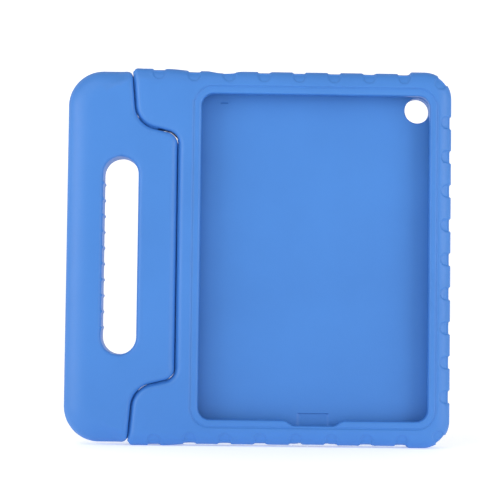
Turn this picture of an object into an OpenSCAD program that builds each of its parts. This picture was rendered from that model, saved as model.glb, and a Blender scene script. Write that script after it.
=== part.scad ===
// Child's tablet case in moulded foam, with a carrying handle that swings back on two hidden hinges.
// The case stands upright: +X points away from the handle, +Y to the back and +Z up.
// The origin is under the middle of the whole case, on the surface that it stands on.

/* [Overall] */
// Width from the grip to the far side
overall_w = 272; // [270:0.5:274]
// Height over the ears
overall_h = 266.2; // [265:0.1:268]
// Thickness of the case, front to back
case_t = 26; // [25.5:0.1:28]
// Clear seam between the handle and the case
seam_gap = 1.2; // [1:0.1:1.4]

/* [Tablet pocket] */
// Width of the tablet
tablet_w = 169.5; // [168:0.1:170]
// Height of the tablet
tablet_h = 240; // [238:0.1:241]
// Thickness of the tablet
tablet_t = 6.1; // [5.8:0.1:7.5]
// Play around the tablet on each side
tablet_play = 0.5; // [0.3:0.1:0.8]
// Corner radius of the pocket
pocket_r = 7; // [5:0.5:8]
// How far the pocket's centre lies above the case's
pocket_rise = 0.4; // [0:0.1:0.6]
// Foam in front of the tablet's edge
lip_t = 7.5; // [6.5:0.1:8]
// How far the lip covers the tablet's long sides
lip_side = 4.5; // [3.5:0.1:5]
// How far the lip covers the tablet's short sides
lip_end = 5.7; // [5:0.1:6.2]
// Corner radius of the window
window_r = 8.5; // [6:0.5:10]
// Width of the sunk band around the window
band_w = 5.5; // [4.5:0.1:6]
// Depth of the sunk band
band_d = 0.8; // [0.4:0.1:1.2]

/* [Case walls] */
// Wall between the pocket and the far side
far_wall = 11.35; // [11:0.05:12]
// Wall between the pocket and the handle's root
root_wall = 10.85; // [10.5:0.05:11.5]
// Corner radius of the far side
corner_r = 19.5; // [17:0.5:21]
// How far the plain rim lies inside the ears and corner pads
rim_drop = 1.25; // [0.8:0.05:1.5]
// Width of each flute in the rim
flute_w = 10; // [8:0.5:11]
// Depth of the flutes along the top and bottom
flute_d = 0.7; // [0.5:0.1:1]
// Depth of the flutes down the far side
side_flute_d = 1; // [0.5:0.1:1.2]
// Spacing of the flutes along the top and bottom
flute_pitch = 24.8; // [24:0.1:25.2]
// Spacing of the flutes down the far side
side_flute_pitch = 24.2; // [23:0.1:24.6]
// Depth of the panel sunk in the back
panel_d = 2.5; // [1:0.1:3]

/* [Cut-outs] */
// Width of the home-button notch at the window's edge
home_w = 40; // [34:1:44]
// Depth of the home-button notch
home_d = 3.7; // [3:0.1:4.2]
// Width of the charging port's cut-out
port_w = 26; // [20:1:30]
// Width of the headphone cut-out
jack_w = 12; // [9:1:14]
// Radius of the rear camera's hole
camera_r = 9; // [7:0.5:10]

/* [Handle] */
// Thickness of the handle, front to back
handle_t = 25; // [24.4:0.1:25.2]
// Height of the handle
handle_h = 262.4; // [260:0.2:264]
// Radius of the handle's outer corners
handle_r = 25; // [20:1:30]
// Width of the grip bar
grip_w = 26; // [25:0.5:27]
// Width of the finger slot
slot_w = 24.75; // [23:0.25:25]
// Length of the finger slot
slot_h = 139.2; // [132:0.2:140]
// Finger ribs on the grip's inner side
rib_count = 10; // [6:1:10]
// Spacing of the finger ribs
rib_pitch = 11.33; // [9:0.01:11.5]

/* [Hinge] */
// Hinge axis to the root's edge, beside the case
root_reach = 13.1; // [12.5:0.1:13.5]
// Hinge axis to the ear's outer face, at its top
ear_reach = 18.7; // [18.4:0.1:19]
// How far the ear's outer face leans outwards, in degrees
ear_lean = 5; // [3:0.5:6]
// How far the hinge axis lies behind mid-thickness
hinge_y = 5; // [4.8:0.1:5.2]
// Slope of the seam where it crosses the hinge axis
seam_slope = 13.5; // [12:0.5:16]
// Radius of the seam around the root's corner
seam_root_r = 9.5; // [9:0.1:10]
// Radius of the seam around the ear's nose
seam_ear_r = 17; // [16:0.1:18]
// Height above mid-case at which the root's corner starts to turn
seam_root_v = 78.6; // [78:0.1:79.2]
// How far a bead on the case's side closes the seam, halfway back
bead_h = 1; // [0.5:0.05:1]
// How far the handle swings back
swing = 110; // [60:1:110]
// Radius of the hinge pins
pin_r = 2.85; // [2.7:0.05:2.85]

/* [Hidden] */
$fn = 96;

UPPER = 1;
LOWER = -1;
FOAM_BLUE = [0.337, 0.573, 0.894];
NYLON_GREY = [0.27, 0.28, 0.30];
ACETAL_WHITE = [0.88, 0.88, 0.86];
STEEL = [0.66, 0.68, 0.70];

mid_z = overall_h / 2;
right_x = overall_w / 2;
left_x = -overall_w / 2;
front_y = -case_t / 2;
back_y = case_t / 2;
cut = 1; // how far a cutter runs past the face that it opens

// Tablet pocket, window and case walls
pocket_w = tablet_w + 2 * tablet_play;
pocket_h = tablet_h + 2 * tablet_play;
pocket_x1 = right_x - far_wall;
pocket_x0 = pocket_x1 - pocket_w;
pocket_y0 = front_y + lip_t;
pocket_y1 = pocket_y0 + tablet_t + tablet_play + 0.2;
window_w = pocket_w - 2 * lip_side;
window_h = pocket_h - 2 * lip_end;
pocket_cx = (pocket_x0 + pocket_x1) / 2;
window_low = pocket_rise - window_h / 2;
port_x = pocket_cx + 0.6;
jack_x = pocket_x0 + 20.35;

// Seam between handle and case: two tangent arcs, with a sloped line between them and a leaning
// line above. u runs from the hinge axis towards the grip, and v up from mid-case.
hinge_x = pocket_x0 - root_wall - seam_gap - root_reach;
slope_normal = [-sin(seam_slope), cos(seam_slope)];
lean_normal = [cos(ear_lean), -sin(ear_lean)];
lean_k = lean_normal * [ear_reach + seam_gap / 2, mid_z];
seam_root_c = [seam_root_r - root_reach - seam_gap / 2, seam_root_v];
slope_k = slope_normal * seam_root_c + seam_root_r + seam_ear_r;
seam_ear_c = [(lean_k - seam_ear_r) * cos(seam_slope) + slope_k * sin(ear_lean),
    slope_k * cos(ear_lean) + (lean_k - seam_ear_r) * sin(seam_slope)] / cos(seam_slope + ear_lean);
ear_x = hinge_x - ear_reach;
bead_y0 = -9.5;
bead_y1 = hinge_y - 3;

// Handle
grip_inner_x = left_x + grip_w;
slot_x = grip_inner_x + slot_w / 2;
slot_end_v = slot_h / 2 - slot_w / 2;
rib_r = 1.2;
rib_proud = 0.8;
root_back_r = handle_t / 2 - hinge_y; // the root's back edge is round about the hinge's depth

// Handle core: two plates that meet at the hinge axis
core_front_t = 10.5;
core_rear_t = 5;
core_front_y = hinge_y - core_front_t;
core_rear_y = hinge_y + core_rear_t;
core_fit = 0.1; // clearance of the core in its foam
core_root_v = 82;
core_grip_w = 14.5;
core_grip_x = left_x + 6.5 + core_grip_w / 2;
core_arm_v = slot_h / 2 + 3.9;
core_arm_w = 12;
screw_r = 1.4;
screw_head_r = 2.75;
screw_head_t = 1.8;
screw_len = 12;
screw_spots = concat([[core_grip_x, 0]],
    [for (s = [-1, 1]) [core_grip_x, s * 92]],
    [for (s = [-1, 1]) [slot_x, s * (core_arm_v + core_arm_w / 2)]],
    [for (s = [-1, 1]) [hinge_x, s * 45]]);

// Hinge stack, as heights v above mid-case along each hinge axis
run_fit = 0.05; // radial clearance of a running fit
pin_head_v = 60;
pin_head_t = 4;
pin_head_r = 4.5;
socket_r = 5.5;
socket_v = 91.7;
socket_throat_t = 6.5;
chamber_r = 4.3;
clip_v = 98.6;
clip_t = 6.8;
clip_outer_r = 3.55;
clip_tab_r = 4.7;
disc_v = 107.3;
disc_t = 1.8;
disc_r = 3.4;
lug_r = 4.1;
lug_angle = 30;
lug_rest = 145; // the lug's direction about the hinge with the handle in line
stop_play = 0.5; // degrees of play past each end of the swing
web_r = 3.65;
ring_v = 109.8;
ring_t = 0.7;
groove_r = 2.2;
pin_end_v = 111.4;
pin_flat = 2; // distance of the pin's flat from its axis
cap_v = 113;
cap_t = 1.6;
fin_r = 7.6;
fin_t = 1.6;
insert_fit = 0.1; // clearance of the hinge inserts in their foam

// A plan drawn over X and height above mid-case, given depth from y0 to y1
module slab(y0, y1) {
    translate([0, y1, mid_z]) rotate([90, 0, 0]) linear_extrude(y1 - y0) children();
}

// The hinge axis of one end, with v as Z
module at_hinge(side) {
    translate([hinge_x, hinge_y, mid_z]) mirror([0, 0, side == LOWER ? 1 : 0]) children();
}

// A 2D shape and its mirror image below mid-case
module both_halves() {
    children();
    mirror([0, 1]) children();
}

module rounded_rect(w, h, r) {
    square([w - 2 * r, h], center = true);
    square([w, h - 2 * r], center = true);
    for (x = [-1, 1], y = [-1, 1]) translate([x * (w / 2 - r), y * (h / 2 - r)]) circle(r);
}

module stadium(length, width) {
    square([length - width, width], center = true);
    for (s = [-1, 1]) translate([s * (length - width) / 2, 0]) circle(width / 2);
}

// What a rounded corner of radius r takes off a square one that points towards +X and +Y
module corner_waste(r) {
    difference() {
        translate([-r, -r]) square(r + cut);
        translate([-r, -r]) circle(r);
    }
}

// The handle's side of the seam, above mid-case, moved by s towards the case. The straight
// lines' ends lie a hair inside the arcs' circles, so that they cross them cleanly.
module seam_side(s, far, top) {
    hair = 0.003;
    root_u = seam_root_c.x - seam_root_r - s;
    lean_foot = seam_ear_c + (seam_ear_r - s - hair) * lean_normal;
    lean_top = (top - lean_foot.y) * tan(ear_lean) + lean_foot.x;
    translate([root_u, 0]) square([far - root_u, seam_root_c.y]);
    translate(seam_root_c) circle(seam_root_r + s);
    difference() {
        polygon([seam_root_c, [far, seam_root_c.y], [far, top], [lean_top, top], lean_foot, seam_ear_c,
            seam_ear_c - (seam_ear_r - s - hair) * slope_normal,
            seam_root_c + (seam_root_r + s - hair) * slope_normal]);
        translate(seam_ear_c) circle(seam_ear_r - s);
    }
}

// What a corner of radius r takes off between a top edge and the leaning line moved by s.
// side is 1 for the ear's corner and -1 for the handle's.
module seam_corner(r, s, top, side) {
    c = [(lean_k - s - side * r + (top - r) * sin(ear_lean)) / cos(ear_lean), top - r];
    touch = c + side * (r + cut) * lean_normal;
    difference() {
        polygon(side > 0 ? [c, touch, [touch.x, top + cut], [c.x, top + cut]]
            : [c, [c.x, top + cut], [touch.x, top + cut], touch]);
        translate(c) circle(r);
    }
}

// ---- Case ----

module case_outline() {
    pad_x = right_x - corner_r;
    pad_z = mid_z - corner_r;
    both_halves() {
        polygon([[ear_x - cut, 0], [right_x, 0], [right_x, pad_z], [pad_x, pad_z], [pad_x, mid_z],
            [pad_x - 8.5, mid_z], [pad_x - 12.5, mid_z - rim_drop],
            [hinge_x + 25, mid_z - rim_drop], [hinge_x + 5, mid_z], [ear_x - cut, mid_z]]);
        translate([pad_x, pad_z]) circle(corner_r);
    }
}

// Circles that cut shallow flutes of width flute_w and depth d into an edge along +X
module flute_row(d, pitch, first, last) {
    r = (flute_w * flute_w / 4 + d * d) / (2 * d);
    for (i = [first : last]) translate([i * pitch, r - d]) circle(r);
}

module flutes() {
    middle_x = 2.7;
    both_halves() {
        translate([middle_x, mid_z - rim_drop]) flute_row(flute_d, flute_pitch, -2, 4);
        translate([middle_x - 3 * flute_pitch, mid_z]) flute_row(flute_d, flute_pitch, 0, 0);
        translate([right_x - corner_r, mid_z - corner_r]) rotate(-45) translate([0, corner_r])
            flute_row(flute_d, flute_pitch, 0, 0);
    }
    translate([right_x, 0]) rotate(-90) flute_row(side_flute_d, side_flute_pitch, -4, 4);
}

// The case's plan, with its side of the seam moved by s towards the case
module case_plan(s) {
    difference() {
        case_outline();
        flutes();
        translate([hinge_x, 0]) mirror([1, 0]) both_halves() {
            seam_side(s, 60, mid_z + cut);
            seam_corner(3, s, mid_z, 1);
        }
    }
}

// The plan where the bead nearly closes the seam. Above the root, the seam stays open between the
// pin and the root's corner.
module bead_plan() {
    difference() {
        case_plan(seam_gap / 2 - bead_h);
        translate([hinge_x, 0]) mirror([1, 0]) intersection() {
            seam_side(seam_gap / 2, 60, mid_z + cut);
            translate([-16, seam_root_v + 4]) square([17, 20]);
        }
    }
}

// What the handle sweeps as it swings back, with the seam's clearance. The swept cut runs a little
// past both ends of the swing, so that it crosses the flat cuts and is nowhere tangent to them.
module swing_clearance() {
    far = 60;
    top = mid_z + cut;
    over_angle = 6;
    over_gap = 0.15;
    at_hinge(UPPER) {
        rotate([0, 0, 180 - swing - over_angle]) rotate_extrude(angle = swing + 2 * over_angle)
            intersection() {
                translate([0, -top]) square([far, 2 * top]);
                both_halves() seam_side(seam_gap / 2 + over_gap, far, top);
            }
        rotate([0, 0, -swing]) translate([0, root_back_r + seam_gap / 2, 0])
            rotate([90, 0, 0]) linear_extrude(handle_t + seam_gap)
            mirror([1, 0]) both_halves() seam_side(seam_gap / 2, far, top);
    }
}

module hinge_pocket() {
    translate([0, 0, seam_root_v])
        cylinder(r = socket_r + insert_fit, h = cap_v + cap_t + insert_fit - seam_root_v);
    translate([-fin_r - insert_fit, -fin_t / 2 - insert_fit, seam_root_v])
        cube([2 * (fin_r + insert_fit), fin_t + 2 * insert_fit, 111.1 - seam_root_v]);
}

module case_shell() {
    color(FOAM_BLUE) difference() {
        union() {
            slab(front_y, back_y) case_plan(seam_gap / 2);
            slab(bead_y0, bead_y1) bead_plan();
        }
        swing_clearance();
        tablet_space();
        case_cutouts();
        slab(back_y - panel_d, back_y + cut) translate([pocket_cx, pocket_rise])
            rounded_rect(140, 212, 10);
        for (side = [UPPER, LOWER]) at_hinge(side) hinge_pocket();
    }
}

module tablet_space() {
    slab(pocket_y0, pocket_y1) translate([pocket_cx, pocket_rise])
        rounded_rect(pocket_w, pocket_h, pocket_r);
    slab(front_y - cut, pocket_y0 + cut) translate([pocket_cx, pocket_rise]) {
        rounded_rect(window_w, window_h, window_r);
        translate([port_x - pocket_cx, -window_h / 2])
            polygon([[-home_w / 2, cut], [-home_w / 2, 0], [-home_w / 2 + 5, -home_d],
                [home_w / 2 - 5, -home_d], [home_w / 2, 0], [home_w / 2, cut]]);
    }
    slab(front_y - cut, front_y + band_d) translate([pocket_cx, pocket_rise])
        rounded_rect(window_w + 2 * band_w, window_h + 2 * band_w, window_r + band_w);
}

// Port, headphone and camera openings, and the thin foam over the buttons
module case_cutouts() {
    port_y = (pocket_y0 + pocket_y1) / 2;
    dip_r = 26.1;
    translate([port_x, port_y, -cut]) linear_extrude(20) stadium(port_w, 8.4);
    translate([jack_x, port_y, overall_h - 20]) linear_extrude(20 + cut) stadium(jack_w, 7);
    slab(front_y - cut, back_y + cut)
        translate([jack_x, mid_z - rim_drop + dip_r - 1.6]) circle(dip_r);
    slab(pocket_y1 - cut, back_y + cut)
        translate([pocket_x1 - 12.2, pocket_rise + pocket_h / 2 - 14.4]) circle(camera_r);
    slab(pocket_y0 + 1, pocket_y1 - 1) {
        translate([pocket_x1 - cut, 58]) square([5 + cut, 44]);
        translate([pocket_x1 - 28, pocket_rise + pocket_h / 2 - cut]) square([16, 5 + cut]);
    }
}

// ---- Handle ----

module handle_plan() {
    slot_ribs = (rib_count - 1) / 2;
    difference() {
        intersection() {
            translate([hinge_x, 0]) mirror([1, 0]) both_halves()
                seam_side(-seam_gap / 2, hinge_x - left_x, handle_h / 2);
            translate([left_x + 60, 0]) rounded_rect(120, handle_h, handle_r);
        }
        translate([hinge_x, 0]) mirror([1, 0]) both_halves()
            seam_corner(4.5, -seam_gap / 2, handle_h / 2, -1);
        difference() {
            translate([slot_x, 0]) rotate(90) stadium(slot_h, slot_w);
            for (i = [-slot_ribs : slot_ribs])
                translate([grip_inner_x + rib_proud - rib_r, i * rib_pitch]) circle(rib_r);
        }
    }
}

// What is taken off the root's back edge and its two ends, so that it turns inside the notch
module root_relief() {
    reach = root_reach + 5;
    translate([0, 0, -100]) linear_extrude(200)
        translate([root_reach, root_back_r]) corner_waste(root_back_r);
    for (side = [0, 1]) mirror([0, 0, side]) rotate_extrude(angle = 120) difference() {
        translate([0, seam_root_v]) square([reach, 20]);
        mirror([1, 0]) seam_side(-seam_gap / 2, 60, mid_z);
    }
}

module handle_grip() {
    color(FOAM_BLUE) difference() {
        slab(-handle_t / 2, handle_t / 2) handle_plan();
        at_hinge(UPPER) root_relief();
        slab(core_front_y - core_fit, core_rear_y + core_fit) core_plan(core_fit);
        for (side = [UPPER, LOWER]) at_hinge(side)
            translate([0, 0, core_root_v - cut]) cylinder(r = pin_r + insert_fit, h = 20);
    }
}

module core_plan(grow) {
    root_w = 18.7;
    translate([hinge_x - 0.85, 0]) square([root_w + 2 * grow, 2 * (core_root_v + grow)], center = true);
    translate([core_grip_x, 0]) rotate(90) stadium(200 + 2 * grow, core_grip_w + 2 * grow);
    for (s = [-1, 1]) translate([(hinge_x + core_grip_x) / 2, s * (core_arm_v + core_arm_w / 2)])
        square([hinge_x - core_grip_x, core_arm_w + 2 * grow], center = true);
}

// The two pins' seats in the core's parting face
module pin_seats() {
    for (side = [UPPER, LOWER]) at_hinge(side) {
        translate([0, 0, pin_head_v - 0.05]) cylinder(r = pin_head_r + 0.05, h = pin_head_t + 0.1, $fn = 6);
        translate([0, 0, pin_head_v]) cylinder(r = pin_r + 0.02, h = 30);
    }
}

module core_front() {
    color(NYLON_GREY) difference() {
        slab(core_front_y, hinge_y) core_plan(0);
        pin_seats();
        slab(core_rear_y - screw_head_t - screw_len - cut, hinge_y + cut)
            for (p = screw_spots) translate(p) circle(screw_r + run_fit);
    }
}

module core_rear() {
    color(NYLON_GREY) difference() {
        slab(hinge_y, core_rear_y) core_plan(0);
        pin_seats();
        slab(hinge_y - cut, core_rear_y + cut) for (p = screw_spots) translate(p) circle(screw_r + 0.2);
        slab(core_rear_y - screw_head_t - 0.2, core_rear_y + cut)
            for (p = screw_spots) translate(p) circle(screw_head_r + 0.15);
    }
}

module core_screws() {
    head_y = core_rear_y - 0.2;
    color(STEEL) for (p = screw_spots) difference() {
        union() {
            slab(head_y - screw_head_t, head_y) translate(p) circle(screw_head_r);
            slab(head_y - screw_len, head_y - screw_head_t) translate(p) circle(screw_r);
        }
        slab(head_y - 1, head_y + cut) translate(p)
            for (a = [0, 90]) rotate(a) square([3.2, 0.7], center = true);
    }
}

// ---- Hinges: each pin is clamped in the handle's core and turns in a socket in the ear ----

module hinge_pin(side) {
    color(STEEL) at_hinge(side) difference() {
        union() {
            translate([0, 0, pin_head_v]) cylinder(r = pin_head_r, h = pin_head_t, $fn = 6);
            translate([0, 0, pin_head_v]) cylinder(r = pin_r, h = pin_end_v - pin_head_v);
        }
        translate([-5, -pin_flat - 5, disc_v - 0.1]) cube([10, 5, 10]);
        translate([0, 0, ring_v - 0.1]) difference() {
            cylinder(r = pin_r + cut, h = ring_t + 0.2);
            translate([0, 0, -cut]) cylinder(r = groove_r, h = ring_t + 0.2 + 2 * cut);
        }
    }
}

module socket(side) {
    free_angle = swing + lug_angle + 2 * stop_play;
    color(ACETAL_WHITE) at_hinge(side) {
        difference() {
            union() {
                translate([0, 0, socket_v]) cylinder(r = socket_r, h = cap_v - socket_v);
                translate([-fin_r, -fin_t / 2, socket_v + 2]) cube([2 * fin_r, fin_t, 111 - socket_v - 2]);
            }
            translate([0, 0, socket_v - cut]) cylinder(r = pin_r + run_fit, h = 20);
            translate([0, 0, socket_v + socket_throat_t]) cylinder(r = chamber_r, h = 30);
            translate([-0.65, 0, socket_v + socket_throat_t]) cube([1.3, clip_tab_r + 0.1, 30]);
        }
        rotate([0, 0, lug_rest + lug_angle / 2 + stop_play]) rotate_extrude(angle = 360 - free_angle)
            translate([web_r, disc_v - 0.1]) square([chamber_r - web_r + 0.3, disc_t + 0.2]);
    }
}

module friction_clip(side) {
    opening = 60;
    color(STEEL) at_hinge(side) translate([0, 0, clip_v]) {
        rotate([0, 0, opening / 2 - 90]) rotate_extrude(angle = 360 - opening)
            translate([pin_r + 0.03, 0]) square([clip_outer_r - pin_r - 0.03, clip_t]);
        translate([-0.6, clip_outer_r - 0.2, 0]) cube([1.2, clip_tab_r - clip_outer_r + 0.2, clip_t]);
    }
}

module stop_disc(side) {
    color(STEEL) at_hinge(side) translate([0, 0, disc_v]) difference() {
        union() {
            cylinder(r = disc_r, h = disc_t);
            rotate([0, 0, lug_rest - lug_angle / 2]) rotate_extrude(angle = lug_angle)
                translate([disc_r - 0.5, 0]) square([lug_r - disc_r + 0.5, disc_t]);
        }
        difference() {
            translate([0, 0, -cut]) cylinder(r = pin_r + 0.02, h = disc_t + 2 * cut);
            translate([-5, -pin_flat - 5.02, -2 * cut]) cube([10, 5, disc_t + 4 * cut]);
        }
    }
}

module retaining_ring(side) {
    opening = 50;
    color(STEEL) at_hinge(side) translate([0, 0, ring_v])
        rotate([0, 0, 90 + opening / 2]) rotate_extrude(angle = 360 - opening)
        translate([groove_r + 0.03, 0]) square([1.3, ring_t]);
}

module socket_cap(side) {
    color(ACETAL_WHITE) at_hinge(side) {
        translate([0, 0, cap_v]) cylinder(r = socket_r, h = cap_t);
        translate([0, 0, cap_v - 1.2]) cylinder(r = chamber_r - run_fit, h = 1.3);
    }
}

case_shell();
handle_grip();
core_front();
core_rear();
core_screws();
hinge_pin(UPPER);  // hinge_pin_upper
hinge_pin(LOWER);  // hinge_pin_lower
socket(UPPER);  // socket_upper
socket(LOWER);  // socket_lower
friction_clip(UPPER);  // friction_clip_upper
friction_clip(LOWER);  // friction_clip_lower
stop_disc(UPPER);  // stop_disc_upper
stop_disc(LOWER);  // stop_disc_lower
retaining_ring(UPPER);  // retaining_ring_upper
retaining_ring(LOWER);  // retaining_ring_lower
socket_cap(UPPER);  // socket_cap_upper
socket_cap(LOWER);  // socket_cap_lower
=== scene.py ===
"""Child's tablet case in moulded foam, with a carrying handle that swings back: the finished looks.

The two foam mouldings are built here as distance fields in millimetres, in x, y and v, where v is
the height above mid-case. They are meshed with OpenVDB, and their points are then moved onto the
exact field. The small hard parts keep their CAD shapes and get procedural materials.
"""

import math

import bpy
import numpy as np
import openvdb
from mathutils import Matrix, Vector


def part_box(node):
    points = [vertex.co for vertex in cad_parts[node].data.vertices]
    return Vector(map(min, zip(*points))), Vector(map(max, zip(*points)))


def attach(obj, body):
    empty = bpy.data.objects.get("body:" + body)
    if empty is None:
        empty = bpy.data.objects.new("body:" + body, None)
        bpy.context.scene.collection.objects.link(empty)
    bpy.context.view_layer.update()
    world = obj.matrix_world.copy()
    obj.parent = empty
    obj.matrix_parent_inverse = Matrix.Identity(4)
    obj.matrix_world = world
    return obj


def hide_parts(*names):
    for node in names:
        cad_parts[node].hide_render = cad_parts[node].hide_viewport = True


MM = 0.001


def in_mm(corner):
    return [value / MM for value in corner]


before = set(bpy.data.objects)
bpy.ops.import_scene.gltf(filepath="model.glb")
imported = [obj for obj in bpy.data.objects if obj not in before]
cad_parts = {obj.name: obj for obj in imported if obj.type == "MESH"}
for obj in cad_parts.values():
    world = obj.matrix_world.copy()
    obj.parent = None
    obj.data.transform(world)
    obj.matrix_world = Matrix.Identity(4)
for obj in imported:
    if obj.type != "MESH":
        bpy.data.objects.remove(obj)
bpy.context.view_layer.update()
case_low, case_high = map(in_mm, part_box("case_shell"))
grip_low, grip_high = map(in_mm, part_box("handle_grip"))
pin_low, pin_high = map(in_mm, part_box("hinge_pin_upper"))

# ---- Sizes, in millimetres ----

# Case
RIGHT_X = case_high[0]
CASE_HALF_T = case_high[1]
MID_Z = case_high[2] / 2
CORNER_R = 19.5
EAR_CORNER_R = 3.0
SOFT_CORNER = 12.0
RIM_DROP = 1.25
RIM_EDGE_R = 8.0
RIM_EDGE_W = 11.0
SEAM_CROWN_W = 11.0
SEAM_CROWN_D = 0.8
EAR_EDGE_R = 3.4
SEAM_GAP = 1.2
SEAM_BEAD_Y = -3.75
SEAM_BEAD_HALF = 5.75
SEAM_BEAD_H = 1.0
BLEND_AT_RIM = 14.0
RIM_SLOPE_W = 20.0

# Tablet pocket and window
POCKET_X = 39.4
POCKET_V = 0.4
POCKET_W = 170.5
POCKET_H = 241.0
POCKET_R = 7.0
POCKET_Y0 = -5.5
POCKET_Y1 = 1.3
WINDOW_W = 161.5
WINDOW_H = 229.6
WINDOW_R = 8.5
WINDOW_EDGE_R = 1.6
BAND_W = 5.6
BAND_D = 0.55
BAND_STEP_W = 1.2
BAND_LINE_D = 0.35
BAND_LINE_W = 0.9
HOME_X = 40.0
HOME_W = 40.0
HOME_SLOPE = 5.0
HOME_D = 3.7
HOME_CORNER_R = 1.2

# Flutes in the rim
FLUTE_W = 10.0
FLUTE_END = 8.8
FLUTE_SLOPE = 1.3
FLUTE_D = 0.65
SIDE_FLUTE_D = 0.8
FLUTE_X = 2.7
FLUTE_PITCH = 24.8
SIDE_FLUTE_PITCH = 24.2

# Openings through the case's walls
PORT_Y = (POCKET_Y0 + POCKET_Y1) / 2
PORT_W = 26.0
PORT_H = 8.4
JACK_X = -25.5
JACK_W = 12.0
JACK_H = 7.0
JACK_DIP_R = 26.1
JACK_DIP_D = 1.6
WALL_MIDDLE_V = 125.0
WALL_REACH = 15.0
BUTTON_HALF_Y = 2.4
SIDE_BUTTONS_X = 126.5
SIDE_BUTTONS_V = 80.0
SIDE_BUTTONS_HALF_H = 22.0
TOP_BUTTON_X = 104.65
TOP_BUTTON_V = 122.4
TOP_BUTTON_HALF_W = 8.0
CAMERA_X = 112.45
CAMERA_V = 106.5
CAMERA_R = 9.0

# Back panel
PANEL_W = 140.0
PANEL_H = 212.0
PANEL_R = 10.0
PANEL_D = 2.5
BACK_RIB_PITCH = 12.0
BACK_RIB_H = 1.1
BACK_RIB_W = 5.0
BACK_RIB_INSET = 24.0

# Handle
GRIP_X = grip_low[0]
HANDLE_HALF_T = grip_high[1]
HANDLE_HALF_H = (grip_high[2] - grip_low[2]) / 2
HANDLE_R = 25.0
HANDLE_FRONT_R = 12.0
HANDLE_FRONT_W = 18.5
HANDLE_BACK_R = 9.0
HANDLE_BACK_W = 12.0
HANDLE_CORNER_R = 4.5
SLOT_X = -97.625
SLOT_W = 24.75
SLOT_H = 139.2
SLOT_EDGE_R = 2.4
SLOT_CROWN_W = 8.0
SLOT_CROWN_D = 1.0
RIB_COUNT = 10
RIB_PITCH = 11.33
RIB_R = 1.2
RIB_X = SLOT_X - SLOT_W / 2 - 0.4

# Hinge and the seam around it
HINGE_X = (pin_low[0] + pin_high[0]) / 2
HINGE_Y = (pin_low[1] + pin_high[1]) / 2
ROOT_REACH = 13.1
EAR_REACH = 18.7
EAR_LEAN = math.radians(5)
SEAM_SLOPE = math.radians(13.5)
SEAM_ROOT_R = 9.5
SEAM_EAR_R = 17.0
SEAM_ROOT_V = 78.6
SWING = 110.0
SWING_OVER_ANGLE = 6.0
SWING_OVER_GAP = 0.15
HINGE_POCKET_R = 5.6
HINGE_POCKET_V = 114.7
FIN_POCKET_HALF_W = 7.7
FIN_POCKET_HALF_T = 0.9
FIN_POCKET_V = 111.1
ROOT_FRONT_R = 5.5
ROOT_BACK_R = HANDLE_HALF_T - HINGE_Y

# Room for the core inside the handle
CORE_MIDDLE_Y = 2.25
CORE_HALF_T = 7.85
CORE_ROOT_X = -0.85
CORE_ROOT_HALF_W = 9.45
CORE_ROOT_V = 82.1
CORE_GRIP_X = -122.25
CORE_GRIP_L = 200.2
CORE_GRIP_W = 14.7
CORE_ARM_X = -96.625
CORE_ARM_HALF_L = 25.7
CORE_ARM_V = 79.5
CORE_ARM_HALF_W = 6.1
PIN_BORE_R = 2.95
PIN_BORE_V = 91.0
PIN_BORE_HALF_L = 10.0


# ---- Distance-field arithmetic ----


def smooth(t):
    """Rises smoothly from 0 to 1 as t goes from 0 to 1."""
    t = np.clip(t, 0, 1)
    return t * t * (3 - 2 * t)


def mix(a, b, t):
    """From a to b as t goes from 0 to 1."""
    return a + (b - a) * t


def both(a, b, r):
    """What lies inside both shapes, with the edge between them rounded to radius r."""
    return np.minimum(np.maximum(a, b), -r) + np.hypot(np.maximum(a + r, 0), np.maximum(b + r, 0))


def soft_corner(a, b, r, soft):
    """What lies inside both shapes, with a corner of radius r that grows softer further inside."""
    edge = both(a, b, r)
    near = np.maximum(soft - np.abs(a - b), 0) / soft
    inner = np.maximum(a, b) + near**2 * soft / 4
    return mix(edge, inner, smooth(-edge / 6))


def without(a, b, r):
    """Shape a with shape b cut out of it, and the edge of the cut rounded."""
    return both(a, -b, r)


def rectangle(p, q, w, h, r):
    """A rounded rectangle about the origin."""
    dp = np.abs(p) - w / 2 + r
    dq = np.abs(q) - h / 2 + r
    return np.hypot(np.maximum(dp, 0), np.maximum(dq, 0)) + np.minimum(np.maximum(dp, dq), 0) - r


def stadium(p, q, length, width):
    """A slot with round ends, along p."""
    return np.hypot(np.maximum(np.abs(p) - (length - width) / 2, 0), q) - width / 2


def turned(p, q, degrees):
    """A point turned about the origin."""
    c = math.cos(math.radians(degrees))
    s = math.sin(math.radians(degrees))
    return c * p - s * q, s * p + c * q


# ---- Seam between the handle and the case ----

SLOPE_NORMAL = np.array((-math.sin(SEAM_SLOPE), math.cos(SEAM_SLOPE)))
LEAN_NORMAL = np.array((math.cos(EAR_LEAN), -math.sin(EAR_LEAN)))
LEAN_K = LEAN_NORMAL @ (EAR_REACH + SEAM_GAP / 2, MID_Z)
ROOT_CENTRE = np.array((SEAM_ROOT_R - ROOT_REACH - SEAM_GAP / 2, SEAM_ROOT_V))
EAR_CENTRE = np.linalg.solve(
    (LEAN_NORMAL, SLOPE_NORMAL),
    (LEAN_K - SEAM_EAR_R, SLOPE_NORMAL @ ROOT_CENTRE + SEAM_ROOT_R + SEAM_EAR_R),
)


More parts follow.
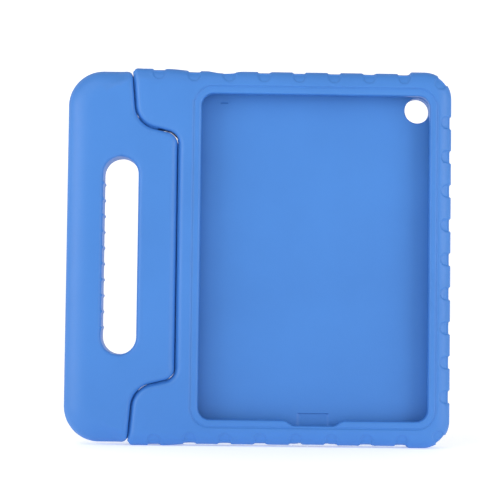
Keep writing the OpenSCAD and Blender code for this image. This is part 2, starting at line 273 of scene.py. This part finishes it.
def seam(u, v):
    """Distance from the seam's middle, less than 0 on the handle's side. u runs from the hinge
    axis towards the grip. The seam is mirrored below mid-case."""
    v = np.abs(v)
    ru, rv = u - ROOT_CENTRE[0], v - ROOT_CENTRE[1]
    eu, ev = u - EAR_CENTRE[0], v - EAR_CENTRE[1]
    root_along = ru * SLOPE_NORMAL[1] - rv * SLOPE_NORMAL[0]
    ear_along = eu * SLOPE_NORMAL[1] - ev * SLOPE_NORMAL[0]
    root_above = ru * SLOPE_NORMAL[0] + rv * SLOPE_NORMAL[1]
    ear_above = eu * SLOPE_NORMAL[0] + ev * SLOPE_NORMAL[1]
    ear_out = eu * LEAN_NORMAL[0] + ev * LEAN_NORMAL[1]
    ear_up = ev * LEAN_NORMAL[0] - eu * LEAN_NORMAL[1]
    root_round = (rv >= 0) & (root_along <= 0)
    root = np.where(root_round, np.hypot(ru, rv), np.maximum(-ru, root_above)) - SEAM_ROOT_R
    ear_round = (ear_up <= 0) & (ear_along >= 0)
    ear = np.where(ear_round, np.hypot(eu, ev), np.maximum(ear_out, -ear_above)) - SEAM_EAR_R
    return np.where(root_along + ear_along < 0, root, -ear)


def handle_seam(x, v):
    return seam(HINGE_X - x, v) + SEAM_GAP / 2


def case_seam(x, v):
    return SEAM_GAP / 2 - seam(HINGE_X - x, v)


def seam_bead(x, y, v):
    """Height of the bead on the case's side, which nearly closes the seam halfway back. Above the
    root, it stops between the pin and the root's corner."""
    profile = smooth((SEAM_BEAD_HALF - np.abs(y - SEAM_BEAD_Y)) / SEAM_BEAD_H)
    stopped = smooth((x - HINGE_X + 2) / 2) * smooth((v - SEAM_ROOT_V - 3) / 2)
    return SEAM_BEAD_H * profile * (1 - stopped)


# ---- Case ----


def case_half_height(x):
    """Height of the rim above mid-case, which drops between the ear and the corner."""
    over_ear = 1 - smooth((x - HINGE_X - 5) / RIM_SLOPE_W)
    over_corner = smooth((x - RIGHT_X + CORNER_R + 12.5) / 4)
    return MID_Z - RIM_DROP * (1 - over_ear - over_corner)


def crown_depth(edge, width, depth):
    """How far a face falls away towards an outer edge. edge is the distance to it, below 0 inside."""
    return depth * np.clip(1 + edge / width, 0, 1) ** 2.5


def one_flute(t, q):
    """1 at the bottom of a flute and 0 outside. t is along the rim and q is inwards from it."""
    past_middle = np.maximum(q - FLUTE_END + FLUTE_W / 2, 0)
    inside = FLUTE_W / 2 - np.hypot(t, past_middle)
    return smooth(inside / FLUTE_SLOPE)


def nearest_in_row(t, pitch, first, last):
    return t - pitch * np.clip(np.round(t / pitch), first, last)


def flute_depth(x, v):
    top = one_flute(nearest_in_row(x - FLUTE_X, FLUTE_PITCH, -3, 4), case_half_height(x) - np.abs(v))
    side = one_flute(nearest_in_row(v, SIDE_FLUTE_PITCH, -4, 4), RIGHT_X - x)
    corner_x = x - RIGHT_X + CORNER_R
    corner_v = np.abs(v) - MID_Z + CORNER_R
    out = (corner_x + corner_v) / math.sqrt(2)
    across = (corner_x - corner_v) / math.sqrt(2)
    corner = one_flute(across, CORNER_R - out)
    return np.maximum(FLUTE_D * np.maximum(top, corner), SIDE_FLUTE_D * side)


def window(x, v):
    """The window, with the notch that the tablet's button shows through."""
    frame_hole = rectangle(x - POCKET_X, v - POCKET_V, WINDOW_W, WINDOW_H, WINDOW_R)
    bottom = POCKET_V - WINDOW_H / 2
    down = bottom - v
    slope = math.atan2(HOME_D, HOME_SLOPE)
    side = (np.abs(x - HOME_X) - HOME_W / 2) * math.sin(slope) + down * math.cos(slope)
    notch = both(both(down - HOME_D, side, HOME_CORNER_R), -down - 8, 0.1)
    return -both(-frame_hole, -notch, HOME_CORNER_R)


def band_depth(x, v):
    """The sunk band round the window, with a fine line at its foot."""
    grow = 2 * BAND_W
    band = rectangle(x - POCKET_X, v - POCKET_V, WINDOW_W + grow, WINDOW_H + grow, WINDOW_R + BAND_W)
    step = BAND_D * smooth(0.5 - band / BAND_STEP_W)
    line = BAND_LINE_D * smooth(1 - np.abs(band + BAND_STEP_W / 2) / BAND_LINE_W)
    return step + line


def panel_depth(x, v):
    """The panel sunk in the back, with round-ended ribs across it."""
    panel = rectangle(x - POCKET_X, v - POCKET_V, PANEL_W, PANEL_H, PANEL_R)
    rib_v = nearest_in_row(v - POCKET_V, BACK_RIB_PITCH, -8, 8)
    rib = stadium(x - POCKET_X, rib_v, PANEL_W - BACK_RIB_INSET, BACK_RIB_W)
    return PANEL_D * smooth(0.5 - panel / 2.4) - BACK_RIB_H * smooth(0.5 - rib / 2.0)


def swept_by_handle(x, y, v):
    """Where the handle passes as it swings back."""
    px, py = x - HINGE_X, y - HINGE_Y
    radius = np.hypot(px, py)
    swept = seam(radius, v) - SEAM_GAP / 2 - SWING_OVER_GAP
    start = math.radians(180 - SWING - SWING_OVER_ANGLE)
    end = math.radians(180 + SWING_OVER_ANGLE)
    before = -(py * math.cos(start) - px * math.sin(start))
    after = py * math.cos(end) - px * math.sin(end)
    swept = np.maximum(swept, np.maximum(before, after))
    tx, ty = turned(px, py, SWING)
    half = HANDLE_HALF_T + SEAM_GAP / 2
    lying = np.maximum(seam(-tx, v) - SEAM_GAP / 2, np.abs(ty + HINGE_Y) - half)
    lying = np.maximum(lying, tx)
    return np.minimum(swept, lying)


def hinge_pocket(x, y, v):
    """Room for the sockets and the pins in the ears."""
    px, py, h = x - HINGE_X, y - HINGE_Y, np.abs(v)
    bore = np.maximum(np.hypot(px, py) - HINGE_POCKET_R, h - HINGE_POCKET_V)
    fins = np.maximum(np.abs(px) - FIN_POCKET_HALF_W, np.abs(py) - FIN_POCKET_HALF_T)
    fins = np.maximum(fins, h - FIN_POCKET_V)
    return np.maximum(np.minimum(bore, fins), SEAM_ROOT_V - h)


def wall_openings(x, y, v):
    """The charging port below and the headphone opening above."""
    port = stadium(x - HOME_X, y - PORT_Y, PORT_W, PORT_H)
    port = np.maximum(port, np.abs(v + WALL_MIDDLE_V) - WALL_REACH)
    jack = stadium(x - JACK_X, y - PORT_Y, JACK_W, JACK_H)
    jack = np.maximum(jack, np.abs(v - WALL_MIDDLE_V) - WALL_REACH)
    return np.minimum(port, jack)


def button_pockets(x, y, v):
    """Hollows that leave thin foam over the tablet's buttons."""
    deep = np.abs(y - PORT_Y) - BUTTON_HALF_Y
    side = np.maximum(np.abs(x - SIDE_BUTTONS_X) - 3.15, np.abs(v - SIDE_BUTTONS_V) - SIDE_BUTTONS_HALF_H)
    top = np.maximum(np.abs(x - TOP_BUTTON_X) - TOP_BUTTON_HALF_W, np.abs(v - TOP_BUTTON_V) - 3.5)
    return np.maximum(np.minimum(side, top), deep)


def case_field(x, y, v):
    """The case: outline, rounded edges and crown, then everything that is cut out of it."""
    seam_wall = case_seam(x, v)
    rim = both(np.abs(v) - case_half_height(x), x - RIGHT_X, CORNER_R)
    plan = soft_corner(rim, seam_wall, EAR_CORNER_R, SOFT_CORNER)
    at_rim = smooth(0.5 + (rim - seam_wall) / BLEND_AT_RIM)
    edge_r = mix(EAR_EDGE_R, RIM_EDGE_R, at_rim)
    stretch = mix(1, RIM_EDGE_W / RIM_EDGE_R, at_rim)
    crown = crown_depth(seam_wall, SEAM_CROWN_W, SEAM_CROWN_D)
    front = -y - CASE_HALF_T + band_depth(x, v) + crown
    back = y - CASE_HALF_T + panel_depth(x, v) + crown
    body = both(plan / stretch, np.maximum(front, back), edge_r) + flute_depth(x, v)
    bead = both(seam_wall - seam_bead(x, y, v), rim + 2, 2.0)
    body = np.minimum(body, np.maximum(bead, np.abs(y - SEAM_BEAD_Y) - SEAM_BEAD_HALF))
    body = without(body, swept_by_handle(x, y, v), 0.8)
    dip_v = MID_Z - RIM_DROP + JACK_DIP_R - JACK_DIP_D
    dip = np.hypot(x - JACK_X, v - dip_v) - JACK_DIP_R
    body = without(body, dip, 1.5)
    opening = np.maximum(window(x, v), y - POCKET_Y0 - 1)
    body = without(body, opening, WINDOW_EDGE_R)
    camera = np.hypot(x - CAMERA_X, v - CAMERA_V) - CAMERA_R
    camera = np.maximum(camera, POCKET_Y1 - 1 - y)
    body = without(body, camera, 2.0)
    body = without(body, wall_openings(x, y, v), 1.2)
    pocket = rectangle(x - POCKET_X, v - POCKET_V, POCKET_W, POCKET_H, POCKET_R)
    pocket_mid = (POCKET_Y0 + POCKET_Y1) / 2
    pocket = np.maximum(pocket, np.abs(y - pocket_mid) - (POCKET_Y1 - POCKET_Y0) / 2)
    inside = np.minimum(pocket, button_pockets(x, y, v))
    inside = np.minimum(inside, hinge_pocket(x, y, v))
    return without(body, inside, 0.3)


# ---- Handle ----


def finger_slot(x, v):
    """The slot for the fingers, with a row of small ribs down its outer side."""
    slot = stadium(v, x - SLOT_X, SLOT_H, SLOT_W)
    half = (RIB_COUNT - 1) / 2
    rib_v = nearest_in_row(v + half * RIB_PITCH, RIB_PITCH, 0, RIB_COUNT - 1)
    ribs = np.hypot(x - RIB_X, rib_v) - RIB_R
    return without(slot, ribs, 0.4)


def core_room(x, y, v):
    """Room for the stiff core inside the handle, and for the pins above it."""
    h = np.abs(v)
    root = np.maximum(np.abs(x - HINGE_X - CORE_ROOT_X) - CORE_ROOT_HALF_W, h - CORE_ROOT_V)
    grip = stadium(v, x - CORE_GRIP_X, CORE_GRIP_L, CORE_GRIP_W)
    arms = np.maximum(np.abs(x - CORE_ARM_X) - CORE_ARM_HALF_L, np.abs(h - CORE_ARM_V) - CORE_ARM_HALF_W)
    plates = np.minimum(np.minimum(root, grip), arms)
    plates = np.maximum(plates, np.abs(y - CORE_MIDDLE_Y) - CORE_HALF_T)
    bore = np.hypot(x - HINGE_X, y - HINGE_Y) - PIN_BORE_R
    return np.minimum(plates, np.maximum(bore, np.abs(h - PIN_BORE_V) - PIN_BORE_HALF_L))


def outside_turning(x, y, v):
    """What would strike the ear as the root's back part turns, on the far side of the axis."""
    px, py = x - HINGE_X, y - HINGE_Y
    past = -seam(-np.hypot(px, py), v) - SEAM_GAP / 2
    front = -py
    behind = -py * math.sin(math.radians(30)) - px * math.cos(math.radians(30))
    return np.maximum(past, np.maximum(front, behind))


def handle_field(x, y, v):
    """The handle: wide rounding at its outer edges, tight at the seam, and the slot's soft rim."""
    seam_wall = handle_seam(x, v)
    outline = both(np.abs(v) - HANDLE_HALF_H, GRIP_X - x, HANDLE_R)
    plan = soft_corner(outline, seam_wall, HANDLE_CORNER_R, SOFT_CORNER)
    near_root = smooth((x - HINGE_X) / 6 + 0.5) * smooth((SEAM_ROOT_V + 8 - np.abs(v)) / 12)
    at_outline = smooth(0.5 + (outline - seam_wall) / 16)
    slot_crown = crown_depth(-finger_slot(x, v), SLOT_CROWN_W, SLOT_CROWN_D)
    crown = np.where(x > SLOT_X, slot_crown, 0)
    front_r = mix(mix(EAR_EDGE_R, ROOT_FRONT_R, near_root), HANDLE_FRONT_R, at_outline)
    front_stretch = mix(1, HANDLE_FRONT_W / HANDLE_FRONT_R, at_outline)
    front = both(plan / front_stretch, -y - HANDLE_HALF_T + crown, front_r)
    back_r = mix(mix(EAR_EDGE_R, ROOT_BACK_R, near_root), HANDLE_BACK_R, at_outline)
    back_stretch = mix(1, HANDLE_BACK_W / HANDLE_BACK_R, at_outline)
    back = both(plan / back_stretch, y - HANDLE_HALF_T + crown, back_r)
    body = np.maximum(front, back)
    body = without(body, outside_turning(x, y, v), 0.3)
    body = without(body, finger_slot(x, v), SLOT_EDGE_R)
    return without(body, core_room(x, y, v), 0.01)


# ---- Meshing ----

VOXEL = 0.6
MARGIN = 4
FLATNESS = 0.02


def grid_axis(low, high):
    count = int(math.ceil((high - low) / VOXEL)) + 2 * MARGIN
    return low - MARGIN * VOXEL + VOXEL * np.arange(count)


def field_at(field, points):
    return field(points[:, 0], points[:, 1], points[:, 2])


def gradient(field, points):
    """The field's slope at each point, by small steps to both sides."""
    step = 0.02
    slope = np.empty_like(points)
    for axis in range(3):
        shift = np.zeros(3)
        shift[axis] = step
        slope[:, axis] = field_at(field, points + shift) - field_at(field, points - shift)
    return slope / (2 * step)


def onto_surface(field, points):
    """Moves mesh points onto the exact surface, each by a voxel at most."""
    start = points.copy()
    for _ in range(4):
        slope = gradient(field, points)
        size = np.maximum((slope**2).sum(1), 0.25)
        points = points - slope * (field_at(field, points) / size)[:, None]
        move = points - start
        length = np.maximum(np.linalg.norm(move, axis=1), 1e-9)
        points = start + move * np.minimum(1, VOXEL / length)[:, None]
    return points


def moulding(name, field, low, high):
    """A foam moulding as a smooth mesh, with normals from the exact field."""
    axes = [grid_axis(low[0], high[0]), grid_axis(low[1], high[1])]
    axes.append(grid_axis(low[2] - MID_Z, high[2] - MID_Z))
    x = axes[0][:, None, None]
    y = axes[1][None, :, None]
    v = axes[2][None, None, :]
    values = np.clip(field(x, y, v), -3 * VOXEL, 3 * VOXEL).astype(np.float32)
    grid = openvdb.FloatGrid(3 * VOXEL)
    grid.copyFromArray(np.ascontiguousarray(values))
    points, triangles, quads = grid.convertToPolygons(isovalue=0.0, adaptivity=FLATNESS)
    origin = np.array([axis[0] for axis in axes])
    points = onto_surface(field, points.astype(float) * VOXEL + origin)
    slope = gradient(field, points)
    normals = slope / np.maximum(np.linalg.norm(slope, axis=1), 1e-9)[:, None]
    points[:, 2] += MID_Z
    faces = [list(map(int, face)) for face in quads] + [list(map(int, face)) for face in triangles]
    mesh = bpy.data.meshes.new(name)
    mesh.from_pydata((points * MM).tolist(), [], faces)
    mesh.validate()
    mesh.update()
    middle = np.array(mesh.polygons[0].center) / MM
    middle[2] -= MID_Z
    outward = gradient(field, middle[None, :])[0]
    if np.dot(outward, mesh.polygons[0].normal) < 0:
        mesh.flip_normals()
    mesh.polygons.foreach_set("use_smooth", [True] * len(mesh.polygons))
    mesh.normals_split_custom_set_from_vertices(normals.tolist())
    obj = bpy.data.objects.new(name, mesh)
    bpy.context.scene.collection.objects.link(obj)
    return obj


# ---- Materials ----


def new_material(name):
    material = bpy.data.materials.new(name)
    material.use_nodes = True
    tree = material.node_tree
    return material, tree, tree.nodes["Principled BSDF"]


def add(tree, kind, **settings):
    node = tree.nodes.new(kind)
    for key, value in settings.items():
        node.inputs[key].default_value = value
    return node


def noise(tree, scale, detail, roughness=0.5):
    """Noise fixed to the object, so that it moves with it."""
    coordinates = tree.nodes.new("ShaderNodeTexCoord")
    texture = add(tree, "ShaderNodeTexNoise", Scale=scale, Detail=detail, Roughness=roughness)
    tree.links.new(coordinates.outputs["Object"], texture.inputs["Vector"])
    return texture


def ramp(tree, source, stops):
    """Maps a value to colours, given as pairs of a place and a colour."""
    node = tree.nodes.new("ShaderNodeValToRGB")
    node.color_ramp.elements[0].position = stops[0][0]
    node.color_ramp.elements[0].color = (*stops[0][1], 1)
    node.color_ramp.elements[1].position = stops[-1][0]
    node.color_ramp.elements[1].color = (*stops[-1][1], 1)
    for place, colour in stops[1:-1]:
        element = node.color_ramp.elements.new(place)
        element.color = (*colour, 1)
    tree.links.new(source, node.inputs["Fac"])
    return node


def bump(tree, source, strength, distance, below=None):
    """Fine relief, on top of the relief given as below."""
    node = add(tree, "ShaderNodeBump", Strength=strength, Distance=distance)
    tree.links.new(source, node.inputs["Height"])
    if below is not None:
        tree.links.new(below.outputs["Normal"], node.inputs["Normal"])
    return node


def foam_material(name, light, dark):
    """Closed-cell EVA foam: a satin skin with a fine pebble grain and slight mottling."""
    material, tree, shader = new_material(name)
    mottle = noise(tree, 14, 3)
    colour = ramp(tree, mottle.outputs["Fac"], [(0.35, dark), (0.65, light)])
    tree.links.new(colour.outputs["Color"], shader.inputs["Base Color"])
    skin = noise(tree, 420, 2, 0.6)
    rough = ramp(tree, skin.outputs["Fac"], [(0.3, (0.44,) * 3), (0.7, (0.54,) * 3)])
    tree.links.new(rough.outputs["Color"], shader.inputs["Roughness"])
    cells = noise(tree, 1900, 3, 0.6)
    waves = noise(tree, 45, 2)
    soft = bump(tree, waves.outputs["Fac"], 0.25, 0.0012)
    grain = bump(tree, cells.outputs["Fac"], 0.35, 0.00025, soft)
    tree.links.new(grain.outputs["Normal"], shader.inputs["Normal"])
    shader.inputs["Specular IOR Level"].default_value = 0.5
    return material


def plastic_material(name, light, dark, roughness):
    """Moulded plastic with a fine spark-eroded grain."""
    material, tree, shader = new_material(name)
    tone = noise(tree, 60, 3)
    colour = ramp(tree, tone.outputs["Fac"], [(0.3, dark), (0.7, light)])
    tree.links.new(colour.outputs["Color"], shader.inputs["Base Color"])
    skin = noise(tree, 900, 2)
    levels = [(0.3, (roughness - 0.06,) * 3), (0.7, (roughness + 0.06,) * 3)]
    rough = ramp(tree, skin.outputs["Fac"], levels)
    tree.links.new(rough.outputs["Color"], shader.inputs["Roughness"])
    grain = bump(tree, noise(tree, 3000, 2).outputs["Fac"], 0.3, 0.0001)
    tree.links.new(grain.outputs["Normal"], shader.inputs["Normal"])
    return material


def steel_material(name, light, dark, roughness, along):
    """Turned or drawn steel, with fine marks running round or along it."""
    material, tree, shader = new_material(name)
    coordinates = tree.nodes.new("ShaderNodeTexCoord")
    stretch = add(tree, "ShaderNodeMapping", Scale=along)
    tree.links.new(coordinates.outputs["Object"], stretch.inputs["Vector"])
    marks = add(tree, "ShaderNodeTexNoise", Scale=800, Detail=4)
    tree.links.new(stretch.outputs["Vector"], marks.inputs["Vector"])
    colour = ramp(tree, marks.outputs["Fac"], [(0.3, dark), (0.7, light)])
    tree.links.new(colour.outputs["Color"], shader.inputs["Base Color"])
    levels = [(0.3, (roughness - 0.08,) * 3), (0.7, (roughness + 0.08,) * 3)]
    rough = ramp(tree, marks.outputs["Fac"], levels)
    tree.links.new(rough.outputs["Color"], shader.inputs["Roughness"])
    lines = bump(tree, marks.outputs["Fac"], 0.2, 0.0001)
    tree.links.new(lines.outputs["Normal"], shader.inputs["Normal"])
    shader.inputs["Metallic"].default_value = 1.0
    return material


def assign(obj, material):
    obj.data.materials.clear()
    obj.data.materials.append(material)


FOAM_LIGHT = (0.047, 0.205, 0.592)
FOAM_DARK = (0.043, 0.192, 0.562)

foam = foam_material("blue_eva_foam", FOAM_LIGHT, FOAM_DARK)
core_plastic = plastic_material("core_nylon", (0.070, 0.073, 0.080), (0.052, 0.055, 0.061), 0.5)
socket_plastic = plastic_material("socket_acetal", (0.76, 0.76, 0.73), (0.70, 0.70, 0.67), 0.35)
pin_steel = steel_material("pin_steel", (0.55, 0.56, 0.58), (0.40, 0.41, 0.43), 0.30, (1, 1, 6))
screw_steel = steel_material("screw_steel", (0.62, 0.62, 0.63), (0.48, 0.48, 0.49), 0.38, (1, 6, 1))
spring_steel = steel_material("spring_steel", (0.50, 0.51, 0.53), (0.34, 0.35, 0.37), 0.32, (1, 1, 6))

NODE_MATERIALS = {
    "core_front": core_plastic,
    "core_rear": core_plastic,
    "core_screws": screw_steel,
    "hinge_pin": pin_steel,
    "socket": socket_plastic,
    "socket_cap": socket_plastic,
    "friction_clip": spring_steel,
    "stop_disc": spring_steel,
    "retaining_ring": spring_steel,
}


def finish_cad_nodes():
    for name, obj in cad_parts.items():
        family = name.removesuffix("_upper").removesuffix("_lower")
        if family in NODE_MATERIALS:
            assign(obj, NODE_MATERIALS[family])


# ---- Stage, lights and camera ----

LOOK_X = -0.0059
LOOK_Z = MID_Z * MM + 0.0053
CAMERA_DISTANCE = 1.1
CAMERA_AZIMUTH = -0.77
CAMERA_ELEVATION = -2.6
CAMERA_LENS = 111.5
CAMERA_ROLL = 0.70
LIGHT_SIZE = 0.8
LIGHT_DISTANCE = 1.6
SWEEP_Y = 1.2
SWEEP_R = 0.8


def make_stage():
    """A pale floor that curves up behind the object."""
    rows = []
    for y in np.linspace(-3.0, SWEEP_Y, 8):
        rows.append((y, 0.0))
    for angle in np.linspace(10, 90, 9):
        a = math.radians(angle)
        rows.append((SWEEP_Y + SWEEP_R * math.sin(a), SWEEP_R - SWEEP_R * math.cos(a)))
    rows.append((SWEEP_Y + SWEEP_R, 3.5))
    verts = []
    for y, z in rows:
        verts.append((-4.0, y, z))
        verts.append((4.0, y, z))
    faces = [(2 * i, 2 * i + 1, 2 * i + 3, 2 * i + 2) for i in range(len(rows) - 1)]
    mesh = bpy.data.meshes.new("floor")
    mesh.from_pydata(verts, [], faces)
    mesh.polygons.foreach_set("use_smooth", [True] * len(mesh.polygons))
    floor = bpy.data.objects.new("floor", mesh)
    bpy.context.scene.collection.objects.link(floor)
    material, _, shader = new_material("pale_floor")
    shader.inputs["Base Color"].default_value = (0.92, 0.92, 0.92, 1)
    shader.inputs["Roughness"].default_value = 0.9
    shader.inputs["Specular IOR Level"].default_value = 0.1
    shader.inputs["Emission Color"].default_value = (1, 1, 1, 1)
    shader.inputs["Emission Strength"].default_value = 0.38
    floor.data.materials.append(material)


def area_light(name, target, azimuth, elevation, watts):
    """A soft box that faces the target. Azimuth 0 is straight in front and 90 is to the right."""
    azimuth = math.radians(azimuth)
    elevation = math.radians(elevation)
    level = math.cos(elevation)
    towards = Vector((math.sin(azimuth) * level, -math.cos(azimuth) * level, math.sin(elevation)))
    data = bpy.data.lights.new(name, "AREA")
    data.size = LIGHT_SIZE
    data.energy = watts
    light = bpy.data.objects.new(name, data)
    light.location = Vector(target) + towards * LIGHT_DISTANCE
    light.rotation_euler = (-towards).to_track_quat("-Z", "Y").to_euler()
    bpy.context.scene.collection.objects.link(light)


def make_lights():
    middle = (0, 0, MID_Z * MM)
    area_light("left", middle, -61, 8, 9.8)
    area_light("right", middle, 53, 8, 10.2)
    area_light("top_left", middle, -30, 45, 4.4)
    world = bpy.data.worlds.new("studio")
    world.use_nodes = True
    background = world.node_tree.nodes["Background"]
    background.inputs["Color"].default_value = (1, 1, 1, 1)
    background.inputs["Strength"].default_value = 0.47
    bpy.context.scene.world = world


def make_camera():
    data = bpy.data.cameras.new("camera")
    data.lens = CAMERA_LENS
    data.sensor_width = 36
    data.clip_end = 20
    camera = bpy.data.objects.new("camera", data)
    azimuth = math.radians(CAMERA_AZIMUTH)
    elevation = math.radians(CAMERA_ELEVATION)
    forward = Vector((math.sin(azimuth), -math.cos(azimuth), 0)) * math.cos(elevation)
    back = forward + Vector((0, 0, math.sin(elevation)))
    place = Vector((LOOK_X, 0, LOOK_Z)) + back * CAMERA_DISTANCE
    aim = (-back).to_track_quat("-Z", "Y").to_matrix().to_4x4()
    roll = Matrix.Rotation(math.radians(CAMERA_ROLL), 4, "Z")
    camera.matrix_world = Matrix.Translation(place) @ aim @ roll
    bpy.context.scene.collection.objects.link(camera)
    bpy.context.scene.camera = camera


# ---- The object ----

make_camera()
make_lights()
make_stage()
finish_cad_nodes()

case = moulding("case_foam", case_field, case_low, case_high)
assign(case, foam)
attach(case, "case")
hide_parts("case_shell")

handle = moulding("handle_foam", handle_field, grip_low, grip_high)
assign(handle, foam)
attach(handle, "handle")
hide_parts("handle_grip")

bpy.context.scene.view_settings.view_transform = "Standard"
